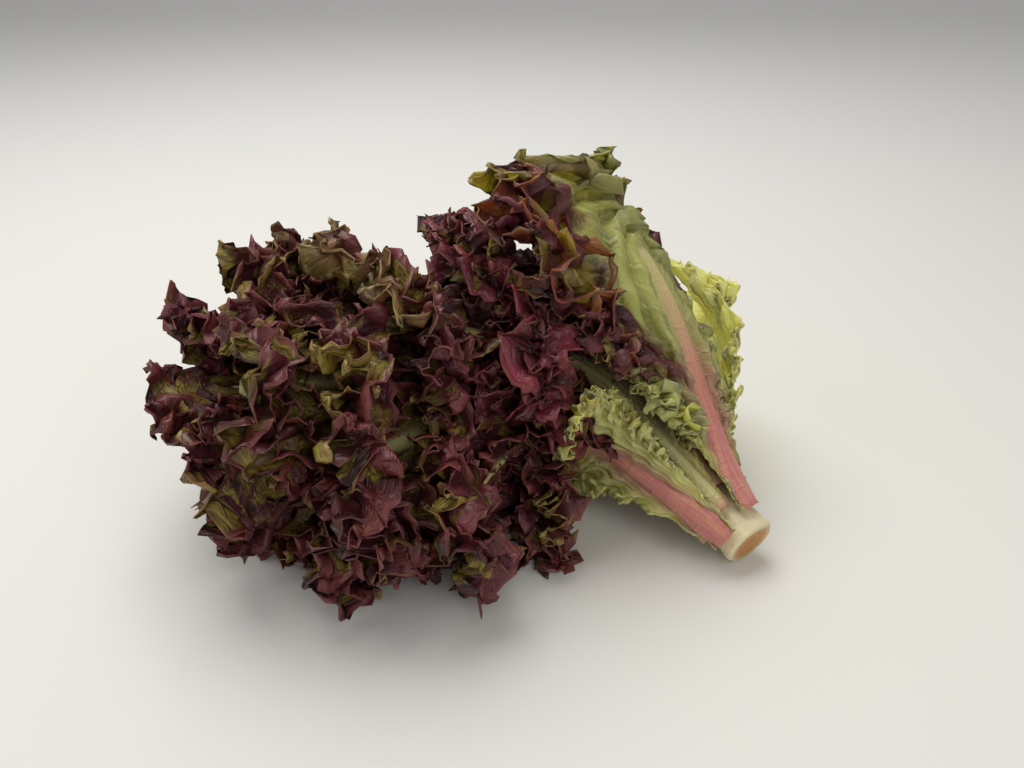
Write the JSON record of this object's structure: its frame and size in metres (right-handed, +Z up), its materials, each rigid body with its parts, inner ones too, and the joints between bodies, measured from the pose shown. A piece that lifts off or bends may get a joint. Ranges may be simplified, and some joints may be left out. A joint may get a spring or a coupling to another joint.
{
  "type": "red leaf lettuce",
  "caption": "Loose head of frilly red leaf lettuce lying on its side, with separate ruffled leaves on a short cut stem.",
  "frame": {"origin": "centre of the bounding box at the surface the head lies on", "axes": "+X from the frilled end to the cut stem, +Z up"},
  "size_m": [0.2646, 0.194, 0.1599],
  "materials": {
    "stem": "moist cream stem with a browned cut face",
    "leaf_red": "waxy dark red blade, green towards the midrib",
    "leaf_green": "waxy yellow-green blade with a pink midrib and a red margin"
  },
  "bodies": {
    "root": {"stem": "stem", "leaf_01": "leaf_green", "leaf_02": "leaf_red", "leaf_03": "leaf_green", "leaf_04": "leaf_red", "leaf_05": "leaf_green", "leaf_06": "leaf_red", "leaf_07": "leaf_red", "leaf_08": "leaf_red", "leaf_09": "leaf_red", "leaf_10": "leaf_red", "leaf_11": "leaf_red", "leaf_12": "leaf_red", "leaf_13": "leaf_red", "leaf_14": "leaf_red", "leaf_15": "leaf_red", "leaf_16": "leaf_red", "leaf_17": "leaf_red", "leaf_18": "leaf_red", "leaf_19": "leaf_red", "leaf_20": "leaf_red", "leaf_21": "leaf_red", "leaf_22": "leaf_red", "leaf_23": "leaf_red", "leaf_24": "leaf_red"}
  },
  "joints": []
}
